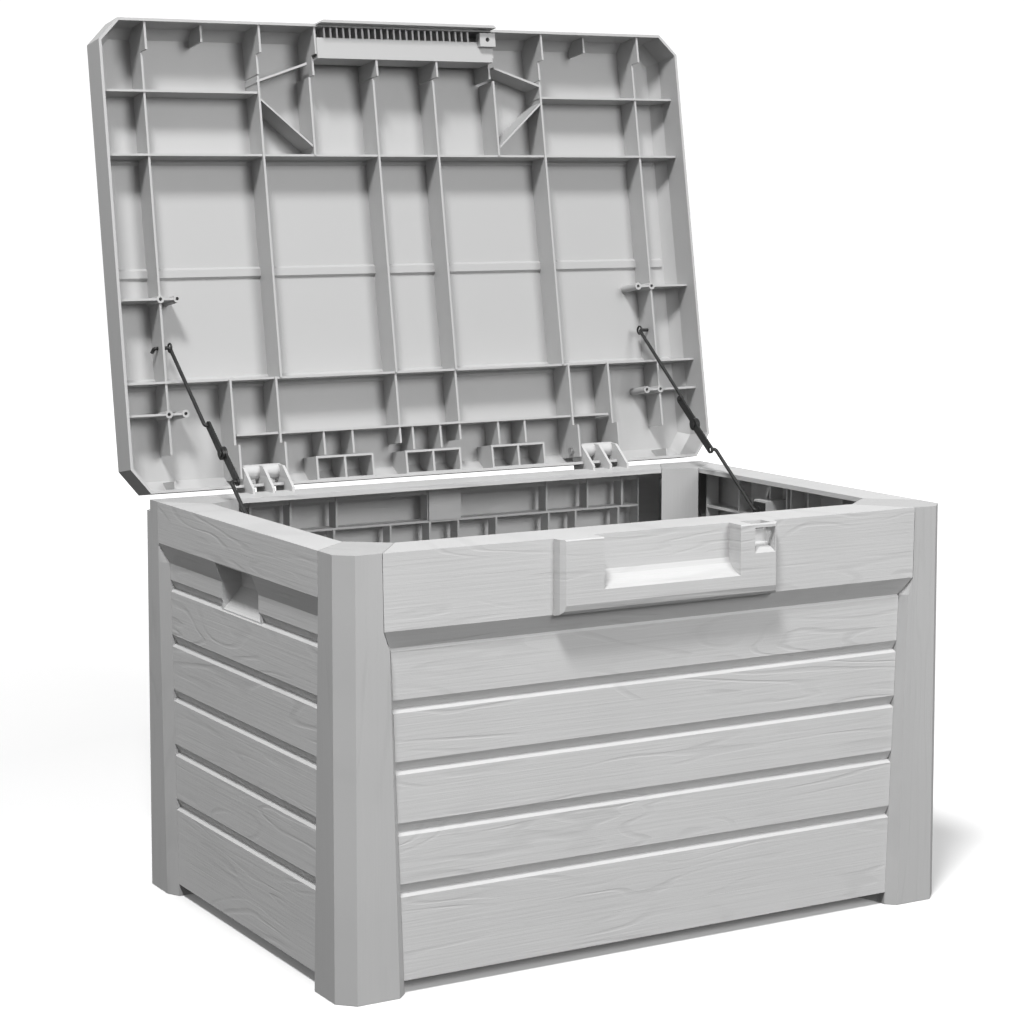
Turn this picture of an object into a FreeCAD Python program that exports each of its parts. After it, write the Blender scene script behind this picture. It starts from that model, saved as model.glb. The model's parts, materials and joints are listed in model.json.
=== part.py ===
import FreeCAD, Part
import math
import os
import Sketcher

# Deck storage box with a hinged, planked lid held open by two folding wire stays.
# Millimetres, +Z up, +X to the right seen from the front, -Y is the front.
# The origin is on the ground under the middle of the body. The lid is drawn closed,
# in the body's frame, and its Placement turns it about the hinge line to stand open.

SIZES = [
    ("body_width", 694.0),
    ("body_depth", 473.0),
    ("body_height", 412.0),
    ("skin", 3.2),
    ("plank_recess", 9.0),
    ("side_recess", 7.5),
    ("panel_foot", 12.5),
    ("flange_thick", 5.0),
    ("flange_front", 53.0),
    ("flange_back", 66.0),
    ("flange_side", 43.0),
    ("belt_foot", 340.3),
    ("side_belt_foot", 369.3),
    ("lattice_depth", 16.0),
    ("rib_thick", 2.4),
    ("groove_depth", 5.5),
    ("groove_pitch", 57.2),
    ("front_groove", 99.2),
    ("side_groove", 99.0),
    ("post_chamfer", 15.4),
    ("post_foot", 58.0),
    ("post_rim_front", 42.4),
    ("post_rim_side", 44.2),
    ("panel_gap", 0.3),
    ("hinge_back", 236.1),
    ("hinge_up", 430.6),
    ("hinge_barrel", 8.0),
    ("hinge_bore", 4.05),
    ("hinge_pin_radius", 4.0),
    ("lid_open", 99.43),
    ("lid_width", 730.0),
    ("lid_depth", 505.0),
    ("lid_foot", 412.5),
    ("lid_skirt", 36.0),
    ("lid_thick", 51.5),
    ("lid_bevel", 14.5),
    ("lid_skin", 4.5),
    ("lid_wall", 3.0),
    ("bulge_half", 125.0),
    ("bulge_out", 14.0),
    ("stay_plane", 299.0),
    ("wire_radius", 2.0),
    ("arm_thick", 2.4),
    ("arm_width", 9.0),
    ("elbow_radius", 7.0),
    ("stay_arm_at", 3.1),
]


class Size:
    """A length with its value and the expression that binds it to the sheet."""

    def __init__(self, value, text):
        self.value = float(value)
        self.text = text

    def _join(self, other, sign, value):
        text = other.text if isinstance(other, Size) else f"{float(other):.6f} mm"
        return Size(value, f"({self.text} {sign} {text})")

    def __add__(self, other):
        return self._join(other, "+", self.value + number(other))

    def __radd__(self, other):
        return self + other

    def __sub__(self, other):
        return self._join(other, "-", self.value - number(other))

    def __rsub__(self, other):
        return -self + other

    def __neg__(self):
        return Size(-self.value, f"(-1 * {self.text})")

    def __mul__(self, factor):
        return Size(self.value * factor, f"({self.text} * {float(factor):.6f})")

    def __rmul__(self, factor):
        return self * factor

    def __truediv__(self, factor):
        return self * (1.0 / factor)


def number(size):
    return size.value if isinstance(size, Size) else float(size)


doc = FreeCAD.newDocument("deck_storage_box")
sheet = doc.addObject("Spreadsheet::Sheet", "Sizes")


class Dims:
    """The driving dimensions by name."""


dims = Dims()
for line, (alias, value) in enumerate(SIZES, start=1):
    sheet.set(f"A{line}", alias.replace("_", " "))
    sheet.set(f"B{line}", str(value))
    sheet.setAlias(f"B{line}", alias)
    setattr(dims, alias, Size(value, f"Sizes.{alias} * 1 mm"))
doc.recompute()

HALF_W = dims.body_width / 2
HALF_D = dims.body_depth / 2
FLANGE_FOOT = dims.body_height - dims.flange_thick
SILL_TOP = dims.panel_foot + 11
PARTS = []
VOLUME_DROPS = []


def bind(thing, path, size):
    """Sets a property from a Size, and binds it to the sheet."""
    if isinstance(size, Size):
        thing.setExpression(path, size.text)


def new_body(name):
    body = doc.addObject("PartDesign::Body", name)
    body.Label = name
    PARTS.append(body)
    return body


def plane_of(body, role):
    return next(f for f in body.Origin.OriginFeatures if f.Role == role)


AXIS_PLANE = {"x": "YZ_Plane", "y": "XZ_Plane", "z": "XY_Plane"}


def sketch_on(body, axis, at, outlines, circles=()):
    """A sketch across an axis at a coordinate. On "y" the sketch's normal is -Y."""
    count = len(body.Group)
    sketch = body.newObject("Sketcher::SketchObject", f"{body.Name}_sketch_{count}")
    sketch.AttachmentSupport = [(plane_of(body, AXIS_PLANE[axis]), "")]
    sketch.MapMode = "FlatFace"
    level = -at if axis == "y" else at
    sketch.AttachmentOffset = FreeCAD.Placement(FreeCAD.Vector(0, 0, number(level)), FreeCAD.Rotation())
    bind(sketch, "AttachmentOffset.Base.z", level)
    bound = []
    for outline in outlines:
        first = len(sketch.Geometry)
        points = [FreeCAD.Vector(number(u), number(v), 0) for u, v in outline]
        joints = []
        for i, point in enumerate(points):
            after = (i + 1) % len(points)
            sketch.addGeometry(Part.LineSegment(point, points[after]), False)
            joints.append(Sketcher.Constraint("Coincident", first + i, 2, first + after, 1))
        sketch.addConstraint(joints)
        for i, (u, v) in enumerate(outline):
            bound.append(("DistanceX", first + i, u))
            bound.append(("DistanceY", first + i, v))
    for centre_u, centre_v, radius in circles:
        first = len(sketch.Geometry)
        centre = FreeCAD.Vector(number(centre_u), number(centre_v), 0)
        sketch.addGeometry(Part.Circle(centre, FreeCAD.Vector(0, 0, 1), number(radius)), False)
        at_centre = [
            Sketcher.Constraint("DistanceX", -1, 1, first, 3, number(centre_u)),
            Sketcher.Constraint("DistanceY", -1, 1, first, 3, number(centre_v)),
            Sketcher.Constraint("Radius", first, number(radius)),
        ]
        ids = sketch.addConstraint(at_centre)
        for place, size in zip(ids, (centre_u, centre_v, radius)):
            bind(sketch, f"Constraints[{place}]", size)
    made = [Sketcher.Constraint(kind, -1, 1, i, 1, number(size)) for kind, i, size in bound]
    ids = sketch.addConstraint(made) if made else ()
    for place, (kind, i, size) in zip(ids, bound):
        bind(sketch, f"Constraints[{place}]", size)
    return sketch


def volume_of(body):
    return body.Shape.Volume if body.Tip else 0.0


def pad(body, axis, low, high, outlines, circles=()):
    """Adds material between two coordinates on an axis."""
    start = high if axis == "y" else low
    sketch = sketch_on(body, axis, start, outlines, circles)
    feature = body.newObject("PartDesign::Pad", f"{body.Name}_pad_{len(body.Group)}")
    feature.Profile = sketch
    length = high - low
    feature.Length = number(length)
    bind(feature, "Length", length)
    feature.Refine = False
    body.Tip = feature
    return feature


def pocket(body, axis, low, high, outlines, circles=()):
    """Removes material between two coordinates on an axis."""
    doc.recompute()
    before = volume_of(body)
    start = low if axis == "y" else high
    sketch = sketch_on(body, axis, start, outlines, circles)
    feature = body.newObject("PartDesign::Pocket", f"{body.Name}_pocket_{len(body.Group)}")
    feature.Profile = sketch
    length = high - low
    feature.Length = number(length)
    bind(feature, "Length", length)
    feature.Refine = False
    body.Tip = feature
    doc.recompute()
    VOLUME_DROPS.append((feature.Name, before - volume_of(body)))
    return feature


def repeat(body, feature, axis_role, pitch, count, reverse=False):
    """Repeats a feature along one of the body's own axes."""
    pattern = body.newObject("PartDesign::LinearPattern", f"{body.Name}_row_{len(body.Group)}")
    pattern.Originals = [feature]
    axis = next(f for f in body.Origin.OriginFeatures if f.Role == axis_role)
    pattern.Direction = (axis, [""])
    pattern.Reversed = reverse
    pattern.Length = number(pitch) * (count - 1)
    bind(pattern, "Length", pitch * (count - 1))
    pattern.Occurrences = count
    pattern.Refine = False
    body.Tip = pattern
    return pattern


def loft(body, kind, sections):
    """A straight-sided loft through outlines at rising heights."""
    sketches = [sketch_on(body, "z", level, [outline]) for level, outline in sections]
    feature = body.newObject(f"PartDesign::{kind}Loft", f"{body.Name}_loft_{len(body.Group)}")
    feature.Profile = sketches[0]
    feature.Sections = sketches[1:]
    feature.Ruled = True
    feature.Refine = False
    body.Tip = feature
    doc.recompute()
    return feature


def box_outline(u0, v0, u1, v1):
    return [(u0, v0), (u1, v0), (u1, v1), (u0, v1)]


def mirrored(outline):
    return [(-u, v) for u, v in reversed(outline)]


# ------------------------------------------------------------------ wall panels
# Every wall is drawn as a front wall: its outside is at -Y, and a Placement turns it.


def wall_profile(wall):
    """The section of a wall: flange, belt and the recessed plank field below it.
    The belt's slanted underside ends in a notch above the top plank."""
    plank = wall.face + wall.recess
    skin = dims.skin
    return [
        (wall.face, dims.body_height),
        (wall.face, wall.belt),
        (plank + wall.notch, wall.slant),
        (plank, wall.slant - 2.4),
        (plank, dims.panel_foot),
        (plank + skin, dims.panel_foot),
        (plank + skin, wall.slant - 4.6),
        (plank + wall.notch + skin, wall.slant - 1.5),
        (wall.face + skin, wall.belt - 1.5),
        (wall.face + skin, FLANGE_FOOT),
        (wall.face + wall.flange, FLANGE_FOOT),
        (wall.face + wall.flange, dims.body_height),
    ]


def groove_profiles(plank, middle):
    """The V groove between two planks, and the ridge that backs it inside."""
    groove = [
        (plank - 1, middle + 5.9),
        (plank, middle + 4.2),
        (plank + dims.groove_depth, middle - 5.0),
        (plank, middle - 8.2),
        (plank - 1, middle - 8.8),
    ]
    inner = plank + dims.skin
    ridge = [
        (inner - 0.6, middle + 6.2),
        (inner + dims.groove_depth - 0.3, middle - 3.4),
        (inner + dims.groove_depth - 0.3, middle - 6.6),
        (inner - 0.6, middle - 11.2),
    ]
    return groove, ridge


def lattice_cells(uprights, shelves):
    """Rectangles between upright ribs and shelf ribs, each row with its own uprights."""
    cells = []
    half = dims.rib_thick / 2
    for (low, high), row in zip(zip(shelves, shelves[1:]), uprights):
        for left, right in zip(row, row[1:]):
            cells.append(box_outline(left + half, low + half, right - half, high - half))
    return cells


def taper_outline(half_top, half_belt, half_plank, half_foot, belt_foot, slant_foot):
    """What is cut from one end of a wall so that it meets the tapered post."""
    out = half_top + 4
    return [
        (out, dims.panel_foot - 2),
        (half_foot, dims.panel_foot - 2),
        (half_foot, dims.panel_foot),
        (half_plank, slant_foot),
        (half_belt, belt_foot),
        (half_top, FLANGE_FOOT),
        (out, FLANGE_FOOT),
    ]


def mitre_outline(wall, half_top, run):
    """What is cut from one end of a flange, where it meets the corner's flange."""
    edge = half_top + 0.1
    return [
        (edge + run / wall.flange.value, wall.face - 1),
        (edge - run - run / wall.flange.value, wall.face + wall.flange + 1),
        (edge + 5, wall.face + wall.flange + 1),
        (edge + 5, wall.face - 1),
    ]


class Wall:
    """The numbers that differ between the front, back and side walls."""

    def __init__(self, face, flange, recess, belt, slant, notch, ends, mitres, groove, rows):
        self.face = face
        self.flange = flange
        self.recess = recess
        self.belt = belt
        self.slant = slant
        self.notch = notch
        self.ends = ends
        self.mitres = mitres
        self.groove = groove
        self.rows = rows


def build_wall(name, wall):
    """A moulded wall: planked outside, ribbed inside, with a flange round the opening."""
    body = new_body(name)
    half_top, half_belt, half_plank, half_foot = wall.ends
    pad(body, "x", -half_top, half_top, [wall_profile(wall)])
    plank = wall.face + wall.recess
    groove, ridge = groove_profiles(plank, wall.groove)
    count = 5 if wall.belt.value > 350 else 4
    backing = pad(body, "x", -half_top, half_top, [ridge])
    repeat(body, backing, "Z_Axis", dims.groove_pitch, count)
    taper = taper_outline(half_top, half_belt, half_plank, half_foot, wall.belt, wall.slant)
    pocket(body, "y", wall.face - 2, wall.face + 20, [taper, mirrored(taper)])
    right, left = (mitre_outline(wall, half_top, run) for run in wall.mitres)
    pocket(body, "z", FLANGE_FOOT - 1, dims.body_height + 1, [right, mirrored(left)])
    shelves = [dims.panel_foot + 1.2, 86, 156, 226, 296, 366, FLANGE_FOOT + 1.2]
    shelves = [s if isinstance(s, Size) else Size(s, f"{float(s)} mm") for s in shelves]
    uprights = [wall.rows[1]] * 5 + [wall.rows[0]]
    lattice_half = wall.rows[0][-1]
    outer = box_outline(-lattice_half, dims.panel_foot, lattice_half, FLANGE_FOOT + 1)
    inner = plank + dims.skin
    pad(
        body,
        "y",
        inner - 0.5,
        inner + dims.lattice_depth,
        [outer] + lattice_cells(uprights, shelves),
    )
    sill_half = lattice_half - 6
    sill = box_outline(-sill_half, SILL_TOP - 3, sill_half, SILL_TOP)
    pad(body, "y", inner, inner + dims.lattice_depth + 9, [sill])
    cut = pocket(body, "x", -half_top, half_top, [groove])
    repeat(body, cut, "Z_Axis", dims.groove_pitch, count)
    doc.recompute()
    return body


def row(*places):
    """Rib places across a wall, given for one half and mirrored."""
    both = sorted({-p for p in places} | set(places))
    return [Size(p, f"{float(p)} mm") for p in both]


def turned(degrees):
    return FreeCAD.Placement(FreeCAD.Vector(), FreeCAD.Rotation(FreeCAD.Vector(0, 0, 1), degrees))


FRONT_ENDS = (304.2, 302.9, 292.0, 279.6)
SIDE_ENDS = (191.9, 191.2, 178.3, 164.6)
FRONT_RUN = 82.0 - 42.4
SIDE_RUN_FRONT = 83.0 - 44.2
SIDE_RUN_BACK = 86.5 - 44.2


def ends_of(places, outer):
    """Half lengths at the rim, belt foot, first plank and ground, less the joint gap."""
    return tuple(outer - (number(outer) - p) - dims.panel_gap for p in places)


def front_wall():
    rows = (row(20, 133, 188, 235, 258), row(18, 67, 136, 172, 230, 258))
    wall = Wall(
        -HALF_D,
        dims.flange_front,
        dims.plank_recess,
        dims.belt_foot,
        dims.belt_foot - 18,
        dims.skin * 0.55,
        ends_of(FRONT_ENDS, HALF_W),
        (FRONT_RUN, FRONT_RUN),
        dims.front_groove,
        rows,
    )
    body = build_wall("front_panel", wall)
    grip_housing(body)
    return body


def grip_housing(body):
    """The bulge in the front belt: a finger recess and a window for a padlock."""
    face = -HALF_D
    out = face - dims.bulge_out
    top = dims.body_height
    section = [
        (face + 1, top),
        (out + 1, top),
        (out, top - 1.2),
        (out, top - 62),
        (out + 1.5, top - 67.5),
        (out + 6, top - 71),
        (face + 1, top - 73),
    ]
    half = dims.bulge_half
    pad(body, "x", -half, half, [section])
    corner = [
        (half + 1, out - 1),
        (half - 5, out - 1),
        (half - 5, out),
        (half - 1, out + 5),
        (half, face - 0.5),
        (half + 1, face - 0.5),
    ]
    pocket(body, "z", top - 75, top + 1, [corner, mirrored(corner)])
    backing = box_outline(-84, top - 60, 84, top - 1)
    pad(body, "y", face + 2, face + 9.5, [backing])
    recess = [
        (out - 2, top + 1),
        (face + 6, top + 1),
        (face + 6, top - 34),
        (face + 4.2, top - 39),
        (face + 0.5, top - 43),
        (face - 6, top - 47),
        (out - 2, top - 50.2),
    ]
    reach = Size(78, "78 mm")
    pocket(body, "x", -reach, reach, [recess])
    window = [
        (out - 1, top - 29),
        (out, top - 29),
        (face + 1, top - 20),
        (face + 1, top - 4),
        (out - 1, top - 4),
    ]
    pocket(body, "x", Size(95, "95 mm"), Size(119, "119 mm"), [window])
    slot = box_outline(91.5, out + 2.5, 116.5, face + 7)
    pocket(body, "z", top - 8, top + 1, [slot])


def back_wall():
    rows = (row(20, 133, 188, 235, 258), row(18, 67, 136, 172, 230, 258))
    wall = Wall(
        -HALF_D,
        dims.flange_back,
        dims.plank_recess,
        dims.belt_foot,
        dims.belt_foot - 18,
        dims.skin * 0.55,
        ends_of(FRONT_ENDS, HALF_W),
        (FRONT_RUN, FRONT_RUN),
        dims.front_groove,
        rows,
    )
    body = build_wall("back_panel", wall)
    hinge_channel(body)
    body.Placement = turned(180)
    return body


LUG_FINS = (189.5, 212.5, 235.5)
FIN_HALF = 1.5


def hinge_channel(body):
    """The lowered channel along the back rim, and the two finned hinge lugs in it."""
    face = -HALF_D
    top = dims.body_height
    out = HALF_W - 38
    channel = box_outline(-out, face - 1, out, face + 23.5)
    pocket(body, "z", top - 12, top + 1, [channel])
    end = HALF_W - 50.5
    floor = box_outline(-end, face + 2.5, end, face + 27)
    pad(body, "z", top - 16, top - 12, [floor])
    low_riser = box_outline(-end, face + 23.5, end, face + 27)
    pad(body, "z", top - 16, FLANGE_FOOT - 0.3, [low_riser])
    inner = HALF_W - 60.5
    riser = box_outline(-inner, face + 23.5, inner, face + 27)
    pad(body, "z", top - 16, top, [riser])
    plate = box_outline(-20, top - 45, 20, top - 6)
    pad(body, "y", -HALF_D + dims.plank_recess + dims.skin, face + 30, [plate])
    pin_y = -dims.hinge_back
    pin_z = dims.hinge_up
    fin = [
        (face + 22.9, top - 12.5),
        (face + 22.9, top - 0.5),
        (face + 39.5, top - 0.5),
        (face + 39.5, top + 5),
        (face + 14.5, top + 25.5),
        (pin_y - 2.5, pin_z + 7.6),
        (pin_y - 6.5, pin_z + 4.5),
        (pin_y - 7.8, pin_z - 1),
        (face + 1, top - 12.5),
    ]
    fins = [side * place for side in (-1, 1) for place in LUG_FINS]
    for place in fins:
        low = Size(place - FIN_HALF, f"{place - FIN_HALF} mm")
        pad(body, "x", low, low + 2 * FIN_HALF, [fin])
    inner = LUG_FINS[0] - FIN_HALF
    outer = LUG_FINS[-1] + FIN_HALF
    for low in (-outer, inner):
        start = Size(low, f"{low} mm")
        span = outer - inner
        pad(body, "x", start, start + span, [], [(pin_y, pin_z, dims.hinge_barrel)])
    for low in (-outer - 1, inner - 1):
        start = Size(low, f"{low} mm")
        pocket(body, "x", start, start + (outer - inner + 2), [], [(pin_y, pin_z, dims.hinge_bore)])


STAY_FOOT = (34.0, 377.0)
STAY_BOSS = 14.0


def side_wall(name, degrees, stay_side):
    rows = (row(4, 35, 95, 160), row(35, 95, 160))
    reach = dims.flange_side.value / 45.0
    runs = (SIDE_RUN_BACK * reach, SIDE_RUN_FRONT * reach)
    wall = Wall(
        -HALF_W,
        dims.flange_side,
        dims.side_recess,
        dims.side_belt_foot,
        dims.side_belt_foot - 20.3,
        dims.skin * 0,
        ends_of(SIDE_ENDS, HALF_D),
        runs if stay_side > 0 else runs[::-1],
        dims.side_groove,
        rows,
    )
    body = build_wall(name, wall)
    hand_hole(body)
    stay_socket(body, stay_side)
    body.Placement = turned(degrees)
    return body


def hand_hole(body):
    """The carrying grip under the side belt, a pocket closed towards the inside."""
    face = -HALF_W
    top = dims.side_belt_foot
    half = Size(44, "44 mm")
    backing = [
        (face + 1.6, top + 4),
        (face + 32, top + 4),
        (face + 32, top - 54),
        (face + 9, top - 54),
        (face + 9, top - 22),
        (face + 1.6, top - 1),
    ]
    pad(body, "x", -half - 4, half + 4, [backing])
    hollow = [
        (face - 1, top - 1),
        (face + 28.5, top - 1),
        (face + 28.5, top - 26),
        (face + 11, top - 46),
        (face + 6, top - 49),
        (face - 1, top - 49),
    ]
    pocket(body, "x", -half, half, [hollow])


def stay_socket(body, stay_side):
    """The pad on the inner ribs that carries a stay's anchor clip, and its braces."""
    face = -HALF_W
    inner = face + dims.side_recess + dims.skin
    middle = STAY_FOOT[0] * stay_side
    lattice = inner + dims.lattice_depth
    boss = box_outline(middle - 12, 366, middle + 12, 388)
    pad(body, "y", inner - 0.5, lattice + STAY_BOSS, [boss])
    brace = [
        (middle + 12 * stay_side, 372),
        (middle + 16 * stay_side, 372),
        (middle + 4 * stay_side, 407),
        (middle, 407),
    ]
    pad(body, "y", inner - 0.5, lattice, [brace])


# ------------------------------------------------------------------ corner posts


# Height, front face width, front flank reach, side face width and side flank reach.
POST_SECTIONS = (
    (0.0, 58.6, 9.4, 58.0, 14.6),
    (322.3, 49.6, 5.4, 46.3, 13.1),
    (340.3, 43.7, 0.4, 45.7, 12.9),
    (349.0, 43.5, 0.4, 45.4, 12.8),
    (369.3, 43.2, 0.4, 44.9, 0.4),
    (407.0, 42.4, 0.4, 44.2, 0.4),
)
POST_INNER = (82.0, 45.0)


class Corner:
    """Which corner of the box a post stands in, and the depth of the flange there."""

    def __init__(self, at_right, at_back):
        self.at_right = at_right
        self.at_back = at_back
        self.deep = dims.flange_back if at_back else dims.flange_front
        self.inner_v = self.deep + (20.5 if at_back else 30.0)

    def place(self, outline):
        """Turns distances from the box's corner into body coordinates."""
        points = []
        for u, v in outline:
            x = HALF_W - u if self.at_right else u - HALF_W
            y = HALF_D - v if self.at_back else v - HALF_D
            points.append((x, y))
        return points


def post_outline(corner, front, front_reach, side, side_reach, wall):
    """A post's section, moved inwards by a wall's thickness for its hollow."""
    chamfer = dims.post_chamfer
    edge = wall * 0.42
    lip = wall * 0.47
    outline = [
        (wall, chamfer + edge),
        (chamfer + edge, wall),
        (front - lip, wall),
        (front + front_reach - wall, 9.0 + wall * 0.9),
        (front + front_reach - wall, 20.0 + wall * 0.6),
        (POST_INNER[0] - wall * 1.25, corner.deep - wall * 0.16),
        (POST_INNER[1] - wall * 0.16, corner.inner_v - wall * 1.25),
        (20.0 + wall * 0.6, side + side_reach - wall),
        (7.4 + wall * 0.9, side + side_reach - wall),
        (wall, side - lip),
    ]
    return corner.place(outline)


def corner_cap(corner):
    """The corner of the flange, between the mitred ends of two walls."""
    chamfer = dims.post_chamfer
    none = chamfer * 0
    outline = [
        (none, chamfer),
        (chamfer, none),
        (dims.post_rim_front, none),
        (POST_INNER[0] + none, corner.deep),
        (POST_INNER[1] + none, corner.inner_v),
        (none, dims.post_rim_side),
    ]
    return corner.place(outline)


def post_sections(corner, wall, top):
    """The outlines of a post, or of its hollow, at each height where its taper changes."""
    sections = []
    for level, front, front_reach, side, side_reach in POST_SECTIONS:
        outline = post_outline(corner, front, front_reach, side, side_reach, wall)
        sections.append((FLANGE_FOOT * (level / 407.0), outline))
    sections[-1] = (top, sections[-1][1])
    return sections


def build_post(name, at_right, at_back):
    """A hollow corner post that runs from its own foot up to the flange."""
    body = new_body(name)
    corner = Corner(at_right, at_back)
    loft(body, "Additive", post_sections(corner, dims.skin * 0, FLANGE_FOOT))
    before = volume_of(body)
    hollow_top = dims.body_height - (16 if at_back else 8)
    loft(body, "Subtractive", post_sections(corner, dims.skin, hollow_top))
    VOLUME_DROPS.append((name + "_hollow", before - volume_of(body)))
    pad(body, "z", FLANGE_FOOT, dims.body_height, [corner_cap(corner)])
    if at_back:
        step = box_outline(-HALF_W - 1, HALF_D - 23.5, HALF_W + 1, HALF_D + 1)
        pocket(body, "z", dims.body_height - 12, dims.body_height + 1, [step])
    return body


# ------------------------------------------------------------------ floor


def build_floor():
    """The floor: a flat sheet on the wall sills, stiffened by a grid underneath."""
    body = new_body("floor_panel")
    side = HALF_W - dims.side_recess - dims.skin - dims.lattice_depth - 0.5
    front = HALF_D - dims.plank_recess - dims.skin - dims.lattice_depth - 0.5
    post_x = HALF_W - 83.2
    post_side = HALF_W - 45.8
    front_in = HALF_D - 53.9
    front_out = HALF_D - 84.2
    back_in = HALF_D - 67.1
    back_out = HALF_D - 87.5
    right = [
        (post_x, -front),
        (post_x, -front_in),
        (post_side, -front_out),
        (side, -front_out),
        (side, back_out),
        (post_side, back_out),
        (post_x, back_in),
        (post_x, front),
    ]
    outline = right + mirrored(right)
    cut_x = HALF_W - 84.5
    pad(body, "z", SILL_TOP + 0.2, SILL_TOP + 3.4, [outline])
    grid_x = cut_x - 14
    grid_y = front - 12
    lines_x = [grid_x * f for f in (-1, -0.6, -0.2, 0.2, 0.6, 1)]
    lines_y = [grid_y * f for f in (-1, -0.5, 0, 0.5, 1)]
    half = dims.rib_thick / 2
    cells = []
    for x0, x1 in zip(lines_x, lines_x[1:]):
        for y0, y1 in zip(lines_y, lines_y[1:]):
            cells.append(box_outline(x0 + half, y0 + half, x1 - half, y1 - half))
    outer = box_outline(-grid_x - half, -grid_y - half, grid_x + half, grid_y + half)
    pad(body, "z", SILL_TOP - 9, SILL_TOP + 0.5, [outer] + cells)
    return body


# ------------------------------------------------------------------ lid


def lid_outline(inset):
    """The lid's plan: a rectangle with its four corners cut off."""
    x = dims.lid_width / 2 - inset
    front = -dims.lid_depth / 2 + inset
    back = dims.lid_depth / 2 - inset
    ease = number(inset) * 0.42
    fx = dims.lid_width / 2 - 22.6 - ease
    fy = -dims.lid_depth / 2 + 23.4 + ease
    bx = dims.lid_width / 2 - 20.6 - ease
    by = dims.lid_depth / 2 - 26.2 - ease
    return [(-fx, front), (fx, front), (x, fy), (x, by), (bx, back), (-bx, back), (-x, by), (-x, fy)]


def along_ribs(places, from_s, to_s):
    """Rib outlines that run front to back, between two distances from the back edge."""
    back = dims.lid_depth / 2
    half = dims.rib_thick / 2
    return [box_outline(x - half, back - to_s, x + half, back - from_s) for x in places]


def across_ribs(spans, at_s):
    """Rib outlines that run left to right, at one distance from the back edge."""
    back = dims.lid_depth / 2
    half = dims.rib_thick / 2
    return [box_outline(x0, back - at_s - half, x1, back - at_s + half) for x0, x1 in spans]


def both(*places):
    return [Size(side * p, f"{side * p} mm") for p in places for side in (-1, 1)]


def lid_level(t):
    """A height inside the lid, counted from its rim upwards."""
    return dims.lid_foot + t


def build_lid():
    """The lid: planked top, bevelled edge, skirt, and the ribs of its underside."""
    body = new_body("lid_shell")
    foot = dims.lid_foot
    shoulder = foot + dims.lid_skirt
    crown = foot + dims.lid_thick
    plain = Size(0, "0 mm")
    wall = dims.lid_wall
    pad(body, "z", foot, shoulder, [lid_outline(plain)])
    loft(body, "Additive", [(shoulder, lid_outline(plain)), (crown, lid_outline(dims.lid_bevel))])
    inner_top = crown - dims.lid_skin
    pocket(body, "z", foot, shoulder - 0.5, [lid_outline(wall)])
    before = volume_of(body)
    hollow = [(shoulder - 0.5, lid_outline(wall)), (inner_top, lid_outline(dims.lid_bevel - 0.8))]
    loft(body, "Subtractive", hollow)
    VOLUME_DROPS.append(("lid_hollow", before - volume_of(body)))
    lid_grooves(body, crown, inner_top)
    lid_ribs(body, inner_top + 0.6)
    lid_bosses(body, inner_top + 0.6)
    lid_clips(body, inner_top + 0.6)
    lid_hinge_ears(body)
    trim_to_bevel(body, shoulder, crown)
    lid_lip(body, shoulder)
    stand_open(body)
    return body


LID_GROOVES = (117.0, 236.0, 361.0)


def lid_grooves(body, crown, inner_top):
    """V grooves between the lid's planks, each backed by a ridge inside."""
    back = dims.lid_depth / 2
    side = dims.lid_width / 2 - dims.lid_bevel - 3
    ridges = [
        [
            (back - s - 7, inner_top + 0.5),
            (back - s - 4, inner_top - 3),
            (back - s + 4, inner_top - 3),
            (back - s + 7, inner_top + 0.5),
        ]
        for s in LID_GROOVES
    ]
    pad(body, "x", -side, side, ridges)
    grooves = [
        [
            (back - s - 4.6, crown + 0.6),
            (back - s, crown - 4),
            (back - s + 4.6, crown + 0.6),
        ]
        for s in LID_GROOVES
    ]
    wide = dims.lid_width / 2 + 1
    pocket(body, "x", -wide, wide, grooves)


def lid_ribs(body, top):
    """The stiffening ribs under the lid's top, by direction and by depth."""
    skirt = dims.lid_width / 2 - 2
    long_ribs = along_ribs(both(38, 179), 117, 448) + along_ribs(both(117), 361, 448)
    long_ribs += lid_braces()
    pad(body, "z", lid_level(14), top, long_ribs)
    side_ribs = along_ribs(both(311.5), 40, 473)
    inner_ribs = along_ribs(both(38), 38, 116) + lid_stubs()
    pad(body, "z", lid_level(17), top, side_ribs + inner_ribs)
    edge_ribs = along_ribs(both(112, 179, 311.5), 472, 503.5) + along_ribs(both(38), 449, 467)
    ears = along_ribs(both(*EARS), 9, 46)
    pad(body, "z", lid_level(2.5), top, edge_ribs + ears)
    ends = along_ribs(both(243), 484, 503.5) + along_ribs(both(311.5), 2, 12)
    roots = along_ribs(both(*EARS), 45, 117) + along_ribs(both(112, 179), 450, 473)
    pad(body, "z", lid_level(13), top, ends + roots)
    rows = across_ribs([(-skirt, skirt)], 361) + across_ribs([(-skirt, skirt)], 117)
    short = [(-skirt, -292), (292, skirt)]
    rows += across_ribs(short, 206) + across_ribs(short, 83) + across_ribs([(-236, 236)], 57)
    rows += across_ribs([(-skirt, -177), (177, skirt)], 430)
    pad(body, "z", lid_level(15.5), top, rows)


def lid_braces():
    """The slanted ribs either side of the grip."""
    back = dims.lid_depth / 2
    braces = []
    for near, far in (((181, 441), (119, 462)), ((177.6, 421), (119, 370))):
        x0, s0 = near
        x1, s1 = far
        brace = [
            (Size(x0, f"{x0} mm"), back - s0),
            (Size(x0, f"{x0} mm"), back - s0 - 2.6),
            (Size(x1, f"{x1} mm"), back - s1 - 2.6),
            (Size(x1, f"{x1} mm"), back - s1),
        ]
        braces += [brace, mirrored(brace)]
    return braces


CLIP_MIDDLES = (-110, 0, 110)


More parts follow.
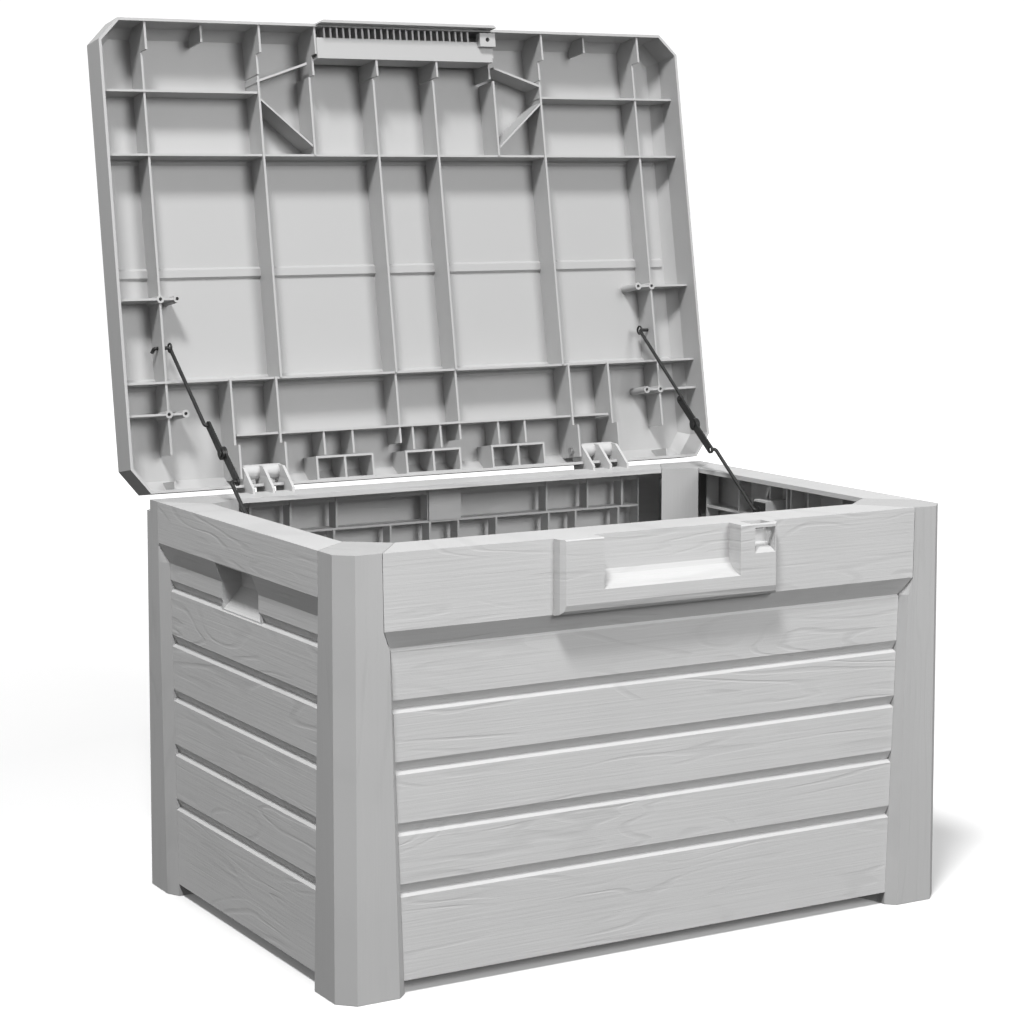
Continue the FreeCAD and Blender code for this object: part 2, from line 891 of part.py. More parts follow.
def lid_stubs():
    """Short fins behind the guide frames."""
    places = [Size(m + step, f"{m + step} mm") for m in CLIP_MIDDLES for step in (-22, 13)]
    return along_ribs(places, 30, 56)


def lid_bosses(body, top):
    """Screw bosses beside the long side ribs, each with its pilot hole."""
    back = dims.lid_depth / 2
    places = [(x, back - s) for x in both(292.5, 311.5) for s in (206, 83)]
    pad(body, "z", lid_level(15), top, [], [(x, y, 4.2) for x, y in places])
    pocket(body, "z", lid_level(14), top - 6, [], [(x, y, 1.9) for x, y in places])
    hook = opened_back(*STAY_TOP)
    hole = [(Size(hook[0], f"{hook[0]:.4f} mm"), Size(hook[1], f"{hook[1]:.4f} mm"), dims.wire_radius + 0.08)]
    for low in (-314.0, 309.0):
        start = Size(low, f"{low} mm")
        pocket(body, "x", start, start + 5, [], hole)


def lid_clips(body, top):
    """Three shallow guide frames along the back edge of the lid."""
    back = dims.lid_depth / 2
    frames = []
    for middle in CLIP_MIDDLES:
        edges = [middle - 35.2, middle - 1.2, middle + 1.2, middle + 35.2]
        places = [Size(p, f"{p} mm") for p in edges]
        frames.append(box_outline(places[0], back - 29, places[3], back - 2))
        frames.append(box_outline(places[0] + 2.4, back - 26.6, places[1], back - 4.4))
        frames.append(box_outline(places[2], back - 26.6, places[3] - 2.4, back - 4.4))
    pad(body, "z", lid_level(14), top, frames)


def trim_to_bevel(body, shoulder, crown):
    """Cuts the rib ends back to the sloping edge of the lid."""
    for axis, size in (("x", dims.lid_depth), ("y", dims.lid_width)):
        edge = size / 2
        wedge = [
            (edge, shoulder),
            (edge - dims.lid_bevel, crown),
            (edge + 4, crown),
            (edge + 4, shoulder),
        ]
        reach = dims.lid_width / 2 + 4
        pocket(body, axis, -reach, reach, [wedge, mirrored(wedge)])


EARS = (185.6, 239.4)


def lid_hinge_ears(body):
    """The pin's bores in the lid's ears, and the slots that the lug fins pass."""
    back = dims.lid_depth / 2
    bore = [(dims.hinge_back, dims.hinge_up, dims.hinge_bore)]
    for low in (-EARS[1] - 2.5, EARS[0] - 2.5):
        start = Size(low, f"{low} mm")
        pocket(body, "x", start, start + (EARS[1] - EARS[0] + 5), [], bore)
    slots = []
    for place in both(*LUG_FINS):
        wide = FIN_HALF + 1.2
        slots.append(box_outline(place - wide, dims.lid_foot - 1, place + wide, lid_level(29)))
    pocket(body, "y", back - 4, back + 1, slots)


def lid_lip(body, top):
    """The grip lip in the middle of the front edge, its comb and the padlock tab."""
    front = -dims.lid_depth / 2
    lip_half = Size(111, "111 mm")
    out = [
        (-lip_half, front + 1.1),
        (lip_half, front + 1.1),
        (lip_half - 3, front - 1.9),
        (3 - lip_half, front - 1.9),
    ]
    pad(body, "z", lid_level(-13), lid_level(33), [out])
    band = box_outline(-lip_half, front + 15, lip_half, front + 38)
    pad(body, "z", lid_level(1.2), lid_level(4), [band])
    walls = [
        box_outline(-lip_half, front + 15, lip_half, front + 17.6),
        box_outline(-lip_half, front + 35.6, lip_half, front + 38),
    ]
    pad(body, "z", lid_level(1.2), top, walls)
    pitch = 7.9
    teeth = []
    for i in range(24):
        place = Size(-100 + i * pitch, f"{-100 + i * pitch:.3f} mm")
        teeth.append(box_outline(place - 1.1, front + 1.5, place + 1.1, front + 16))
    pad(body, "z", lid_level(3), lid_level(16), teeth)
    tab = box_outline(Size(93, "93 mm"), front + 5.5, Size(113, "113 mm"), front + 21)
    hole = (Size(103, "103 mm"), front + 13, Size(2.6, "2.6 mm"))
    pad(body, "z", lid_level(-5), lid_level(4), [tab], [hole])


# ------------------------------------------------------------------ placements on the lid


def open_angle():
    return -dims.lid_open.value


def stand_open(thing):
    """Turns a closed lid piece about the hinge line to the open position."""
    angle = "Sizes.lid_open * 1 deg"
    pin_y = dims.hinge_back.text
    pin_z = dims.hinge_up.text
    thing.Placement = FreeCAD.Placement(
        FreeCAD.Vector(),
        FreeCAD.Rotation(FreeCAD.Vector(1, 0, 0), open_angle()),
        FreeCAD.Vector(0, dims.hinge_back.value, dims.hinge_up.value),
    )
    thing.setExpression("Placement.Base.y", f"{pin_y} - {pin_y} * cos({angle}) - {pin_z} * sin({angle})")
    thing.setExpression("Placement.Base.z", f"{pin_z} + {pin_y} * sin({angle}) - {pin_z} * cos({angle})")


def opened_back(y, z):
    """Where a point beside the open lid lies when the lid is closed."""
    angle = -math.radians(open_angle())
    dy = y - dims.hinge_back.value
    dz = z - dims.hinge_up.value
    return (
        dims.hinge_back.value + dy * math.cos(angle) - dz * math.sin(angle),
        dims.hinge_up.value + dy * math.sin(angle) + dz * math.cos(angle),
    )


# ------------------------------------------------------------------ hinge pins


def build_hinge_pin(name, side):
    """A steel pin through the lid's ears and the lug's barrel, with a head outside."""
    body = new_body(name)
    start = side * (EARS[0] - 1.3 - 3.5)
    end = side * (EARS[1] + 1.3 + 4.0)
    low, high = sorted((start, end))
    centre = (dims.hinge_back, dims.hinge_up, dims.hinge_pin_radius)
    head = (dims.hinge_back, dims.hinge_up, dims.hinge_pin_radius + 2.4)
    pad(body, "x", Size(low, f"{low} mm"), Size(high, f"{high} mm"), [], [centre])
    head_low = side * (EARS[1] + 1.3 + 0.4)
    low, high = sorted((head_low, head_low + side * 2.4))
    pad(body, "x", Size(low, f"{low} mm"), Size(high, f"{high} mm"), [], [head])
    return body


# ------------------------------------------------------------------ folding stays
# Each stay is a chain: upper wire, upper arm, lower arm, lower wire. All its pieces lie
# in planes of constant X beside the inner wall.

STAY_TOP = (270.9, 565.3)
UPPER_EYE = (177.8, 490.0)
ELBOW = (145.3, 464.2)
LOWER_EYE = (111.6, 438.4)


def stay_x(side, inward):
    """An X position in a stay, counted inwards from the wires' plane."""
    return side * (dims.stay_plane.value - inward)


def cylinder_x(x0, x1, centre, radius):
    """A solid pin along X between two X positions."""
    low, high = sorted((x0, x1))
    y, z = centre
    return Part.makeCylinder(radius, high - low, FreeCAD.Vector(low, y, z), FreeCAD.Vector(1, 0, 0))


def bent_wire(points, radius, bend):
    """A round wire through points in space, with an arc of one radius at each corner."""
    places = [FreeCAD.Vector(*p) for p in points]
    edges = []
    start = places[0]
    for before, corner, after in zip(places, places[1:], places[2:]):
        into = (corner - before).normalize()
        away = (after - corner).normalize()
        turn = into.getAngle(away)
        reach = bend * math.tan(turn / 2)
        arc_in = corner - into * reach
        arc_out = corner + away * reach
        inside = (away - into).normalize()
        depth = bend / math.cos(turn / 2) - bend
        middle = corner + inside * depth
        edges.append(Part.LineSegment(start, arc_in).toShape())
        edges.append(Part.Arc(arc_in, middle, arc_out).toShape())
        start = arc_out
    edges.append(Part.LineSegment(start, places[-1]).toShape())
    path = Part.Wire(edges)
    direction = places[1] - places[0]
    section = Part.Wire([Part.makeCircle(radius, places[0], direction)])
    return path.makePipeShell([section], True, False)


def add_shape(name, shape):
    """A piece whose shape is set here, from sizes read out of the sheet."""
    feature = doc.addObject("Part::Feature", name)
    feature.Label = name
    feature.Shape = shape
    feature.Placement = FreeCAD.Placement()
    PARTS.append(feature)
    return feature


def stay_boss_x():
    """How far out the pads that carry the stays' clips face the inside."""
    shell = dims.side_recess.value + dims.skin.value
    return dims.body_width.value / 2 - shell - dims.lattice_depth.value - STAY_BOSS


def build_upper_wire(name, side):
    """The wire hooked through the lid's side rib, ending in the upper arm's eye."""
    x = stay_x(side, 0)
    beyond = side * 317.0
    eye_end = stay_x(side, dims.stay_arm_at.value + dims.arm_thick.value + 1.4)
    y0, z0 = STAY_TOP
    y1, z1 = UPPER_EYE
    points = [
        (beyond, y0 + 5.5, z0 - 4.6),
        (beyond, y0, z0),
        (x, y0, z0),
        (x, y1, z1),
        (eye_end, y1, z1),
    ]
    return add_shape(name, bent_wire(points, dims.wire_radius.value, 3.0))


def build_lower_wire(name, side):
    """The wire from the lower arm's eye down to the clip on the side wall."""
    x = stay_x(side, 0)
    eye_end = stay_x(side, dims.stay_arm_at.value + dims.arm_thick.value - 0.1)
    y0, z0 = LOWER_EYE
    y1, z1 = STAY_FOOT
    points = [
        (eye_end, y0, z0),
        (x, y0, z0),
        (x, y1, z1),
        (side * (stay_boss_x() - 0.4), y1, z1),
    ]
    return add_shape(name, bent_wire(points, dims.wire_radius.value, 3.0))


def arm_shape(x0, x1, eye, elbow, eye_hole, elbow_hole):
    """A flat arm with an eye at one end and a round disc at the elbow."""
    half = dims.arm_width.value / 2
    thick = abs(x1 - x0)
    low = min(x0, x1)
    run_y = elbow[0] - eye[0]
    run_z = elbow[1] - eye[1]
    length = math.hypot(run_y, run_z)
    side_y = -run_z / length * half
    side_z = run_y / length * half
    corners = [
        FreeCAD.Vector(low, eye[0] + side_y, eye[1] + side_z),
        FreeCAD.Vector(low, elbow[0] + side_y, elbow[1] + side_z),
        FreeCAD.Vector(low, elbow[0] - side_y, elbow[1] - side_z),
        FreeCAD.Vector(low, eye[0] - side_y, eye[1] - side_z),
    ]
    strip = Part.Face(Part.makePolygon(corners + corners[:1])).extrude(FreeCAD.Vector(thick, 0, 0))
    round_end = cylinder_x(low, low + thick, eye, half)
    disc = cylinder_x(low, low + thick, elbow, dims.elbow_radius.value)
    arm = strip.fuse([round_end, disc]).removeSplitter()
    arm = arm.cut(cylinder_x(low - 1, low + thick + 1, eye, eye_hole))
    return arm.cut(cylinder_x(low - 1, low + thick + 1, elbow, elbow_hole))


def build_arms(side, label):
    """The two flat arms of a stay and the rivet that joins them at the elbow."""
    wire_hole = dims.wire_radius.value + 0.08
    open_hole = dims.wire_radius.value + 0.6
    thick = dims.arm_thick.value
    near = dims.stay_arm_at.value
    far = near + thick + 0.3
    upper = arm_shape(stay_x(side, near), stay_x(side, near + thick), UPPER_EYE, ELBOW, wire_hole, 2.03)
    lower = arm_shape(stay_x(side, far), stay_x(side, far + thick), LOWER_EYE, ELBOW, open_hole, 2.06)
    add_shape(f"stay_{label}_upper_arm", upper)
    add_shape(f"stay_{label}_lower_arm", lower)
    shank = cylinder_x(stay_x(side, near - 0.4), stay_x(side, far + thick + 0.5), ELBOW, 2.0)
    outer_head = cylinder_x(stay_x(side, near - 0.4), stay_x(side, near - 1.6), ELBOW, 4.2)
    inner_head = cylinder_x(stay_x(side, far + thick + 0.3), stay_x(side, far + thick + 1.5), ELBOW, 4.2)
    outer_face = cylinder_x(stay_x(side, near), stay_x(side, near - 0.5), ELBOW, 2.0)
    rivet = shank.fuse([outer_head, inner_head, outer_face]).removeSplitter()
    add_shape(f"stay_{label}_elbow_rivet", rivet)


def build_clip(name, side):
    """The clip on the side wall that the lower wire turns in."""
    inner = side * stay_boss_x()
    y, z = STAY_FOOT
    low, high = sorted((inner - side * 0.05, inner - side * 2.4))
    plate = Part.makeBox(high - low, 20, 18, FreeCAD.Vector(low, y - 10, z - 9))
    collar = cylinder_x(inner - side * 0.05, inner - side * 4.0, (y, z), 5.0)
    clip = plate.fuse(collar).removeSplitter()
    hole = cylinder_x(inner + side * 5, inner - side * 12, (y, z), dims.wire_radius.value + 0.08)
    return add_shape(name, clip.cut(hole))


# ------------------------------------------------------------------ build


front_wall()
back_wall()
side_wall("left_panel", -90, -1)
side_wall("right_panel", 90, 1)
POSTS = {
    "post_front_left": (False, False),
    "post_front_right": (True, False),
    "post_back_left": (False, True),
    "post_back_right": (True, True),
}
for post_name, (to_right, to_back) in POSTS.items():
    build_post(post_name, to_right, to_back)
build_floor()
build_lid()
for side_sign, side_name in ((-1, "left"), (1, "right")):
    build_hinge_pin(f"hinge_pin_{side_name}", side_sign)
    build_upper_wire(f"stay_{side_name}_upper_wire", side_sign)
    build_lower_wire(f"stay_{side_name}_lower_wire", side_sign)
    build_arms(side_sign, side_name)
    build_clip(f"stay_{side_name}_wall_clip", side_sign)

for part in PARTS:
    if hasattr(part, "Tip"):
        part.Tip.Refine = True
doc.recompute()

for thing in doc.Objects:
    if "Invalid" in thing.State or "Error" in thing.State:
        raise RuntimeError(f"{thing.Label} failed: {thing.State}")
for feature_name, drop in VOLUME_DROPS:
    if drop <= 0.01:
        raise RuntimeError(f"{feature_name} removed nothing")
os.makedirs("parts", exist_ok=True)
for part in PARTS:
    if part.Shape.isNull() or not part.Shape.isValid():
        raise RuntimeError(f"{part.Label} has no valid shape")
    part.Shape.exportStep(f"parts/{part.Label}.step")
    box = part.Shape.BoundBox
    print(f"{part.Label:28s} solids {len(part.Shape.Solids)} volume {part.Shape.Volume / 1000:9.1f} cm3", box)
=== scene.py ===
import json
import math

import bmesh
import bpy
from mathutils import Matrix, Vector


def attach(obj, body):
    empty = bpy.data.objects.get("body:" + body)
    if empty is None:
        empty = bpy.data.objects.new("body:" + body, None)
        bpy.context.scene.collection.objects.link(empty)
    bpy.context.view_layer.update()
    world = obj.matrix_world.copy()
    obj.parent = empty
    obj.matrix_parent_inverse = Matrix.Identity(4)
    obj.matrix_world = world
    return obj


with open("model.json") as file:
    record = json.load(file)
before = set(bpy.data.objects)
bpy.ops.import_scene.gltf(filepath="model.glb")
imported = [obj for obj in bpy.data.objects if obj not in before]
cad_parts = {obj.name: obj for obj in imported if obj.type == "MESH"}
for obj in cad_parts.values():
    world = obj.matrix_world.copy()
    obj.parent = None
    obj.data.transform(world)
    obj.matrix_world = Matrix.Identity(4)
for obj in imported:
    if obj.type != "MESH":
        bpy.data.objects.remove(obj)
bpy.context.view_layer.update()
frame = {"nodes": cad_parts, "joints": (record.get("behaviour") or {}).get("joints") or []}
nodes = frame["nodes"]

# The lid is hinged here, and stands open by this angle at rest. LID_UP and LID_BACK are
# the directions that point up and back when it is closed.
HINGE = next(j for j in frame["joints"] if j["name"] == "lid_hinge")
PIN = Vector(HINGE["pos_m"])
OPEN = math.radians(HINGE["range_deg"][1])
LID_UP = Vector((0, math.sin(OPEN), math.cos(OPEN)))
LID_BACK = Vector((0, math.cos(OPEN), -math.sin(OPEN)))
LID_FOOT = 0.4125
LID_REAR = 0.2525

# With the lid closed: heights above its foot between which the embossed outside starts,
# and the distances of its three V grooves from the rear edge.
OUTSIDE_FROM = 0.0474
OUTSIDE_TO = 0.0478
LID_GROOVES = (0.117, 0.236, 0.361)

# Planks of the walls: the distance between grooves, and where the first one starts.
PLANK_PITCH = 0.0572
FRONT_PLANKS_FROM = 0.0420
SIDE_PLANKS_FROM = 0.0418

# Wood grain: how far its lines and streaks darken the tone, and how deep they are embossed.
LINE_TONE = -0.34
STREAK_TONE = 0.36
LINE_DEPTH = -0.7
STREAK_DEPTH = 0.75
GRAIN_RELIEF = 0.0007
GRAIN_STRENGTH = 0.42
PLASTIC_GLOSS = 0.42


# ---------------------------------------------------------------- camera
camera_data = bpy.data.cameras.new("camera")
camera = bpy.data.objects.new("camera", camera_data)
bpy.context.scene.collection.objects.link(camera)
camera.location = (-1.29477, -2.17968, 0.75070)
camera.rotation_euler = (math.radians(90 - 5.27), 0, -math.radians(30.06))
camera_data.lens = 86.38
camera_data.sensor_width = 36
camera_data.shift_y = -0.109
camera_data.clip_end = 50
bpy.context.scene.camera = camera


# ---------------------------------------------------------------- materials
class Graph:
    """Short calls for building a material's nodes."""

    def __init__(self, name):
        self.material = bpy.data.materials.new(name)
        self.material.use_nodes = True
        self.tree = self.material.node_tree
        self.shader = self.tree.nodes["Principled BSDF"]

    def node(self, kind, **settings):
        made = self.tree.nodes.new(kind)
        for key, value in settings.items():
            setattr(made, key, value)
        return made

    def link(self, source, target):
        if isinstance(source, (int, float)):
            target.default_value = source
        else:
            self.tree.links.new(source, target)

    def math(self, operation, a, b=0.0, c=0.0, clamp=False):
        made = self.node("ShaderNodeMath", operation=operation, use_clamp=clamp)
        for place, value in enumerate((a, b, c)):
            self.link(value, made.inputs[place])
        return made.outputs[0]

    def position(self):
        return self.node("ShaderNodeTexCoord").outputs["Object"]

    def split(self, vector):
        made = self.node("ShaderNodeSeparateXYZ")
        self.link(vector, made.inputs[0])
        return made.outputs

    def join(self, x, y, z):
        made = self.node("ShaderNodeCombineXYZ")
        for place, value in enumerate((x, y, z)):
            self.link(value, made.inputs[place])
        return made.outputs[0]

    def noise(self, vector, scale, detail=3.0, roughness=0.5, distortion=0.0):
        made = self.node("ShaderNodeTexNoise")
        self.link(vector, made.inputs["Vector"])
        made.inputs["Scale"].default_value = scale
        made.inputs["Detail"].default_value = detail
        made.inputs["Roughness"].default_value = roughness
        made.inputs["Distortion"].default_value = distortion
        return made.outputs["Fac"]

    def spread(self, value, low, high, to_low=0.0, to_high=1.0):
        made = self.node("ShaderNodeMapRange")
        for key, amount in (
            ("Value", value),
            ("From Min", low),
            ("From Max", high),
            ("To Min", to_low),
            ("To Max", to_high),
        ):
            self.link(amount, made.inputs[key])
        return made.outputs["Result"]

    def shade(self, factor, dark, light):
        made = self.node("ShaderNodeMix", data_type="RGBA")
        self.link(factor, made.inputs["Factor"])
        made.inputs[6].default_value = (*dark, 1)
        made.inputs[7].default_value = (*light, 1)
        return made.outputs[2]

    def bump(self, height, distance, strength):
        made = self.node("ShaderNodeBump")
        self.link(height, made.inputs["Height"])
        made.inputs["Distance"].default_value = distance
        made.inputs["Strength"].default_value = strength
        self.link(made.outputs[0], self.shader.inputs["Normal"])


def grey(level):
    return (level, level, level)


def wood_grain(graph, along, across, depth, plank):
    """Embossed wood grain: the slow flow behind it, its long wavering lines and its fine streaks.
    along runs with the grain, across and depth are the other two coordinates."""
    shifted = graph.math("MULTIPLY_ADD", plank, 3.17, along)
    flow_at = graph.join(graph.math("MULTIPLY", shifted, 2.6), graph.math("MULTIPLY", across, 17.0), depth)
    flow = graph.noise(flow_at, 1.0, 2.5, 0.45, 0.35)
    rings = graph.math("SINE", graph.math("MULTIPLY_ADD", flow, 74.0, graph.math("MULTIPLY", across, 150.0)))
    line = graph.spread(rings, 0.45, 1.0)
    fade_at = graph.join(graph.math("MULTIPLY", shifted, 5.0), graph.math("MULTIPLY", across, 30.0), depth)
    fade = graph.spread(graph.noise(fade_at, 1.0, 2.0), 0.42, 0.66)
    line = graph.math("MULTIPLY", line, fade)
    fine_at = graph.join(graph.math("MULTIPLY", shifted, 9.0), graph.math("MULTIPLY", across, 420.0), depth)
    fine = graph.noise(fine_at, 1.0, 4.0, 0.6, 0.2)
    return flow, line, fine


def grain_tone(graph, line, fine):
    """How much the grain's lines and streaks change the tone."""
    lines = graph.math("MULTIPLY", line, LINE_TONE)
    streaks = graph.math("MULTIPLY_ADD", fine, STREAK_TONE, -STREAK_TONE / 2)
    return lines, streaks


def grain_relief(graph, line, fine):
    """The height of the embossed grain."""
    return graph.math("MULTIPLY_ADD", line, LINE_DEPTH, graph.math("MULTIPLY", fine, STREAK_DEPTH))


def moulded(name, level, grain=None, plank_from=0.0):
    """Pale moulded plastic. grain is the axis that its embossed wood grain follows."""
    graph = Graph(name)
    where = graph.position()
    x, y, z = graph.split(where)
    mottle = graph.noise(where, 9.0, 4.0, 0.55)
    speck = graph.noise(where, 900.0, 2.0, 0.6)
    tone = graph.math("MULTIPLY_ADD", mottle, 0.5, 0.25)
    if grain:
        along, across, depth = {"x": (x, z, y), "y": (y, z, x), "z": (z, x, y)}[grain]
        if grain == "z":
            across = graph.math("ADD", x, y)
            depth = graph.math("SUBTRACT", x, y)
            plank = graph.spread(x, -0.001, 0.001, 0.0, 5.3)
        else:
            above = graph.math("SUBTRACT", z, plank_from)
            plank = graph.math("FLOOR", graph.math("DIVIDE", above, PLANK_PITCH))
        flow, line, fine = wood_grain(graph, along, across, depth, plank)
        lines, streaks = grain_tone(graph, line, fine)
        tone = graph.math("ADD", tone, lines)
        tone = graph.math("ADD", tone, streaks)
        tone = graph.math("ADD", tone, graph.math("MULTIPLY_ADD", flow, 0.5, -0.25), clamp=True)
        height = graph.math("MULTIPLY_ADD", speck, 0.12, grain_relief(graph, line, fine))
        graph.bump(height, GRAIN_RELIEF, GRAIN_STRENGTH)
        spread = 0.085
    else:
        height = graph.math("MULTIPLY_ADD", speck, 0.3, graph.math("MULTIPLY", mottle, 0.6))
        graph.bump(height, 0.00025, 0.22)
        spread = 0.05
    dark = grey(level * (1 - spread))
    light = grey(level * (1 + spread))
    graph.link(graph.shade(tone, dark, light), graph.shader.inputs["Base Color"])
    rough = graph.spread(graph.math("ADD", speck, mottle), 0.6, 1.4, 0.46, 0.6)
    graph.link(rough, graph.shader.inputs["Roughness"])
    graph.shader.inputs["Specular IOR Level"].default_value = PLASTIC_GLOSS
    return graph.material


def lid_plastic(name, level):
    """The lid: embossed wood grain outside, plain moulded plastic on its ribbed underside."""
    graph = Graph(name)
    where = graph.position()
    x, y, z = graph.split(where)
    up = graph.math("ADD", graph.math("MULTIPLY", y, LID_UP.y), graph.math("MULTIPLY", z, LID_UP.z))
    back = graph.math("ADD", graph.math("MULTIPLY", y, LID_BACK.y), graph.math("MULTIPLY", z, LID_BACK.z))
    pin_up = PIN.dot(LID_UP)
    pin_back = PIN.dot(LID_BACK)
    closed_z = graph.math("ADD", up, PIN.z - pin_up)
    from_rear = graph.math("SUBTRACT", LID_REAR, graph.math("ADD", back, PIN.y - pin_back))
    edges = [graph.spread(from_rear, s - 0.0005, s + 0.0005) for s in LID_GROOVES]
    plank = graph.math("ADD", graph.math("ADD", edges[0], edges[1]), edges[2])
    flow, line, fine = wood_grain(graph, x, from_rear, closed_z, plank)
    outside = graph.spread(closed_z, LID_FOOT + OUTSIDE_FROM, LID_FOOT + OUTSIDE_TO)
    mottle = graph.noise(where, 7.0, 4.0, 0.55)
    speck = graph.noise(where, 900.0, 2.0, 0.6)
    lines, streaks = (graph.math("MULTIPLY", part, outside) for part in grain_tone(graph, line, fine))
    tone = graph.math("ADD", graph.math("MULTIPLY_ADD", mottle, 0.5, 0.25), graph.math("ADD", lines, streaks))
    raised = grain_relief(graph, line, fine)
    height = graph.math("MULTIPLY_ADD", raised, outside, graph.math("MULTIPLY", speck, 0.12))
    graph.bump(height, GRAIN_RELIEF, GRAIN_STRENGTH)
    graph.link(graph.shade(tone, grey(level * 0.95), grey(level * 1.05)), graph.shader.inputs["Base Color"])
    rough = graph.spread(graph.math("ADD", speck, mottle), 0.6, 1.4, 0.42, 0.56)
    graph.link(rough, graph.shader.inputs["Roughness"])
    graph.shader.inputs["Specular IOR Level"].default_value = PLASTIC_GLOSS
    return graph.material


def coated_wire(name, level, metallic, rough, scratch):
    """Dark coated or plain metal, with fine wear lines and slightly uneven gloss."""
    graph = Graph(name)
    where = graph.position()
    wear = graph.noise(where, 160.0, 4.0, 0.65, 0.4)
    fine = graph.noise(where, 1400.0, 2.0, 0.6)
    tone = graph.math("MULTIPLY_ADD", wear, 0.8, graph.math("MULTIPLY", fine, 0.2))
    colour = graph.shade(tone, grey(level * (1 - scratch)), grey(level * (1 + scratch)))
    graph.link(colour, graph.shader.inputs["Base Color"])
    graph.shader.inputs["Metallic"].default_value = metallic
    graph.link(graph.spread(wear, 0.3, 0.7, rough - 0.07, rough + 0.09), graph.shader.inputs["Roughness"])
    graph.bump(graph.math("ADD", wear, fine), 0.0001, 0.2)
    return graph.material


def ground(name, level):
    """A pale, almost even studio floor that glows into white away from the object."""
    graph = Graph(name)
    where = graph.position()
    cloud = graph.noise(where, 1.3, 3.0)
    grain = graph.noise(where, 260.0, 2.0)
    tone = graph.math("MULTIPLY_ADD", cloud, 0.7, graph.math("MULTIPLY", grain, 0.3))
    graph.link(graph.shade(tone, grey(level - 0.015), grey(level)), graph.shader.inputs["Base Color"])
    graph.shader.inputs["Roughness"].default_value = 0.9
    graph.shader.inputs["Emission Color"].default_value = (1, 1, 1, 1)
    away = graph.node("ShaderNodeVectorMath", operation="LENGTH")
    graph.link(where, away.inputs[0])
    glow = graph.spread(away.outputs["Value"], 0.9, 3.6, 0.05, 0.7)
    graph.link(glow, graph.shader.inputs["Emission Strength"])
    graph.shader.inputs["Specular IOR Level"].default_value = 0.1
    return graph.material


FRONT_GRAIN = moulded("wall_front", 0.54, "x", FRONT_PLANKS_FROM)
SIDE_GRAIN = moulded("wall_side", 0.545, "y", SIDE_PLANKS_FROM)
# Painted shade: the posts are the same plastic as the walls, but take a darker tone that stands in for the
# shade on their faces.
POST_SHADE_PAINTED_GRAIN = moulded("post_grain_painted_shade", 0.45, "z")
FLOOR_PLASTIC = moulded("floor_smooth", 0.45)
LID_PLASTIC = lid_plastic("lid_smooth", 0.435)
STAY_DARK = coated_wire("stay_dark", 0.035, 0.35, 0.42, 0.35)
CLIP_DARK = coated_wire("clip_dark", 0.03, 0.0, 0.5, 0.25)
PIN_STEEL = coated_wire("pin_steel", 0.5, 1.0, 0.34, 0.15)


def dress(name, material):
    """Gives a CAD node its material."""
    piece = nodes[name]
    piece.data.materials.clear()
    piece.data.materials.append(material)


for name in nodes:
    if name.startswith("post"):
        dress(name, POST_SHADE_PAINTED_GRAIN)
    elif name in ("front_panel", "back_panel"):
        dress(name, FRONT_GRAIN)
    elif name in ("left_panel", "right_panel"):
        dress(name, SIDE_GRAIN)
    elif name == "floor_panel":
        dress(name, FLOOR_PLASTIC)
    elif name == "lid_shell":
        dress(name, LID_PLASTIC)
    elif name.startswith("hinge_pin"):
        dress(name, PIN_STEEL)
    elif name.endswith("wall_clip"):
        dress(name, CLIP_DARK)
    else:
        dress(name, STAY_DARK)


# ---------------------------------------------------------------- stay details
def tube(name, points, radius, body, material):
    """A round wire along points."""
    curve = bpy.data.curves.new(name, "CURVE")
    curve.dimensions = "3D"
    curve.bevel_depth = radius
    curve.bevel_resolution = 4
    curve.use_fill_caps = True
    spline = curve.splines.new("POLY")
    spline.points.add(len(points) - 1)
    for place, point in zip(spline.points, points):
        place.co = (*point, 1)
    piece = bpy.data.objects.new(name, curve)
    bpy.context.scene.collection.objects.link(piece)
    curve.materials.append(material)
    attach(piece, body)
    return piece


# The eyelet that holds the upper wire on the lid: its wire, its radius, how far round it goes in
# steps of 15 degrees, and how far out from the middle of the box it sits.
EYELET_WIRE = 0.0011
EYELET_RADIUS = 0.0046
EYELET_STEPS = 23
EYELET_OUT = 0.299


def eyelet(name, centre, heading, body):
    """A loop bent at the end of a wire, round a pivot, closing back on the wire."""
    points = []
    for step in range(EYELET_STEPS):
        turn = heading + math.pi + math.radians(step * 15 - 165)
        reach = Vector((0, math.cos(turn), math.sin(turn))) * EYELET_RADIUS
        points.append(centre + reach)
    return tube(name, points, EYELET_WIRE, body, STAY_DARK)


joint_at = {j["name"]: Vector(j["pos_m"]) for j in frame["joints"]}

for side, sign in (("left", -1), ("right", 1)):
    hook = joint_at[f"stay_{side}_hook"]
    eye = joint_at[f"stay_{side}_eye"]
    down = math.atan2(eye.z - hook.z, eye.y - hook.y)
    centre = Vector((sign * EYELET_OUT, hook.y, hook.z))
    eyelet(f"stay_{side}_hook_eyelet", centre, down, f"stay_{side}_upper")


# ---------------------------------------------------------------- studio
def disc(name, radius, material):
    """A flat round floor."""
    mesh = bpy.data.meshes.new(name)
    form = bmesh.new()
    bmesh.ops.create_circle(form, cap_ends=True, radius=radius, segments=96)
    form.to_mesh(mesh)
    form.free()
    mesh.materials.append(material)
    piece = bpy.data.objects.new(name, mesh)
    bpy.context.scene.collection.objects.link(piece)
    return piece


floor = disc("studio_floor", 60.0, ground("studio_ground", 0.9))
floor.location.z = -0.0004
floor.visible_diffuse = False
floor.visible_glossy = False


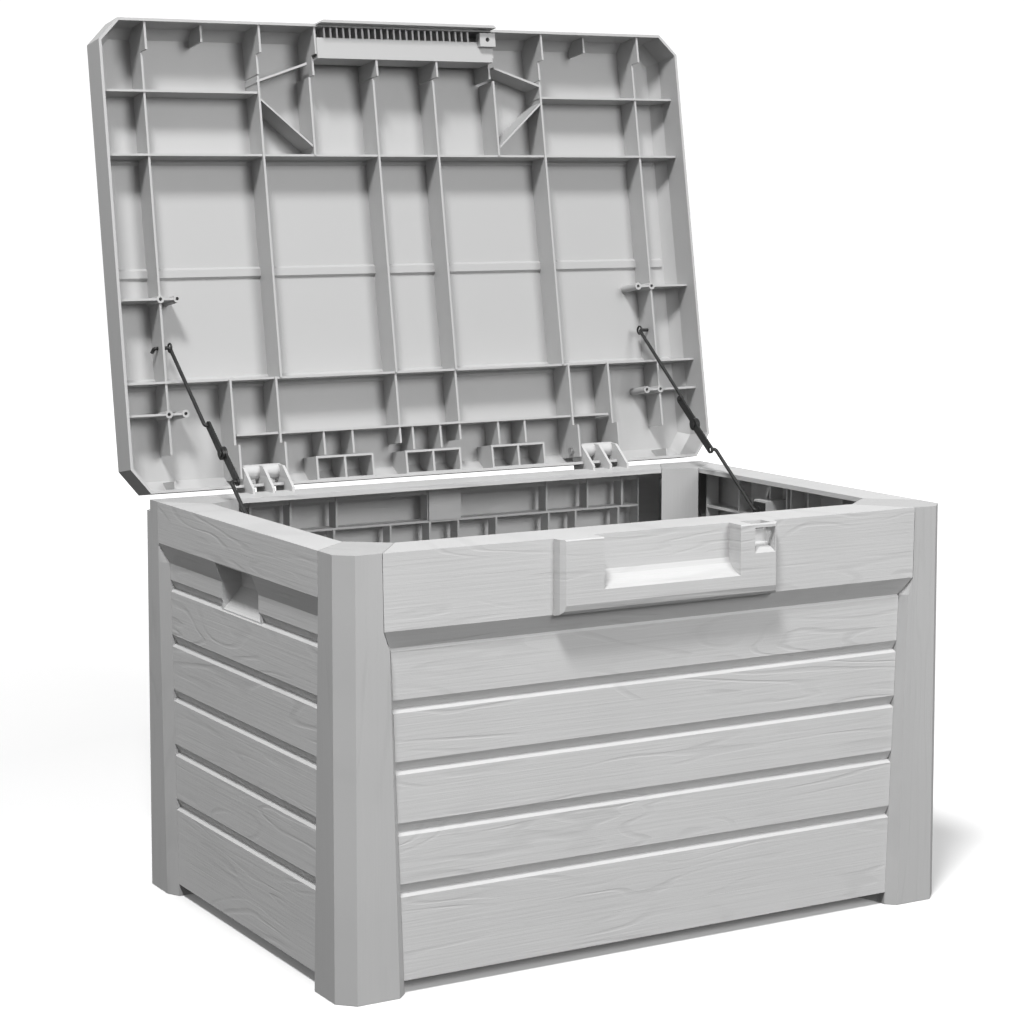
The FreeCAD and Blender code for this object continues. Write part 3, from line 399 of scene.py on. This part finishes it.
def lamp(name, place, aim, size, power):
    """A round area lamp at place, facing aim."""
    data = bpy.data.lights.new(name, "AREA")
    data.shape = "DISK"
    data.size = size
    data.energy = power
    piece = bpy.data.objects.new(name, data)
    bpy.context.scene.collection.objects.link(piece)
    piece.location = place
    heading = Vector(aim) - Vector(place)
    piece.rotation_euler = heading.to_track_quat("-Z", "Y").to_euler()
    return piece


lamp("key", (-2.0, -2.1, 4.95), (0, 0.1, 0.5), 1.0, 285)
lamp("fill", (1.0, -3.9, 2.2), (0, 0, 0.3), 1.8, 105)


WORLD_BRIGHTEST = 1.02


def studio_world():
    """A white surround that is dimmer towards the left, the front and straight up, and dark from below."""
    world = bpy.data.worlds.new("studio")
    bpy.context.scene.world = world
    world.use_nodes = True
    tree = world.node_tree
    background = tree.nodes["Background"]
    where = tree.nodes.new("ShaderNodeTexCoord")
    parts = tree.nodes.new("ShaderNodeSeparateXYZ")
    tree.links.new(where.outputs["Generated"], parts.inputs[0])
    factors = []
    # Along an axis of the direction looked in: where it is dimmest, where it is brightest, how dim.
    ramps = (
        ("X", -0.7, 0.25, 0.7),
        ("Y", -0.8, 0.2, 0.42),
        ("Z", -0.14, -0.01, 0.10),
        ("Z", 0.85, 0.2, 0.3),
    )
    for axis, low, high, dim in ramps:
        ramp = tree.nodes.new("ShaderNodeMapRange")
        tree.links.new(parts.outputs[axis], ramp.inputs["Value"])
        ramp.inputs["From Min"].default_value = low
        ramp.inputs["From Max"].default_value = high
        ramp.inputs["To Min"].default_value = dim
        ramp.inputs["To Max"].default_value = WORLD_BRIGHTEST
        factors.append(ramp.outputs["Result"])
    product = factors[0]
    for factor in factors[1:]:
        both = tree.nodes.new("ShaderNodeMath")
        both.operation = "MULTIPLY"
        tree.links.new(product, both.inputs[0])
        tree.links.new(factor, both.inputs[1])
        product = both.outputs[0]
    background.inputs["Color"].default_value = (1, 1, 1, 1)
    tree.links.new(product, background.inputs["Strength"])


studio_world()
bpy.context.scene.view_settings.view_transform = "Standard"
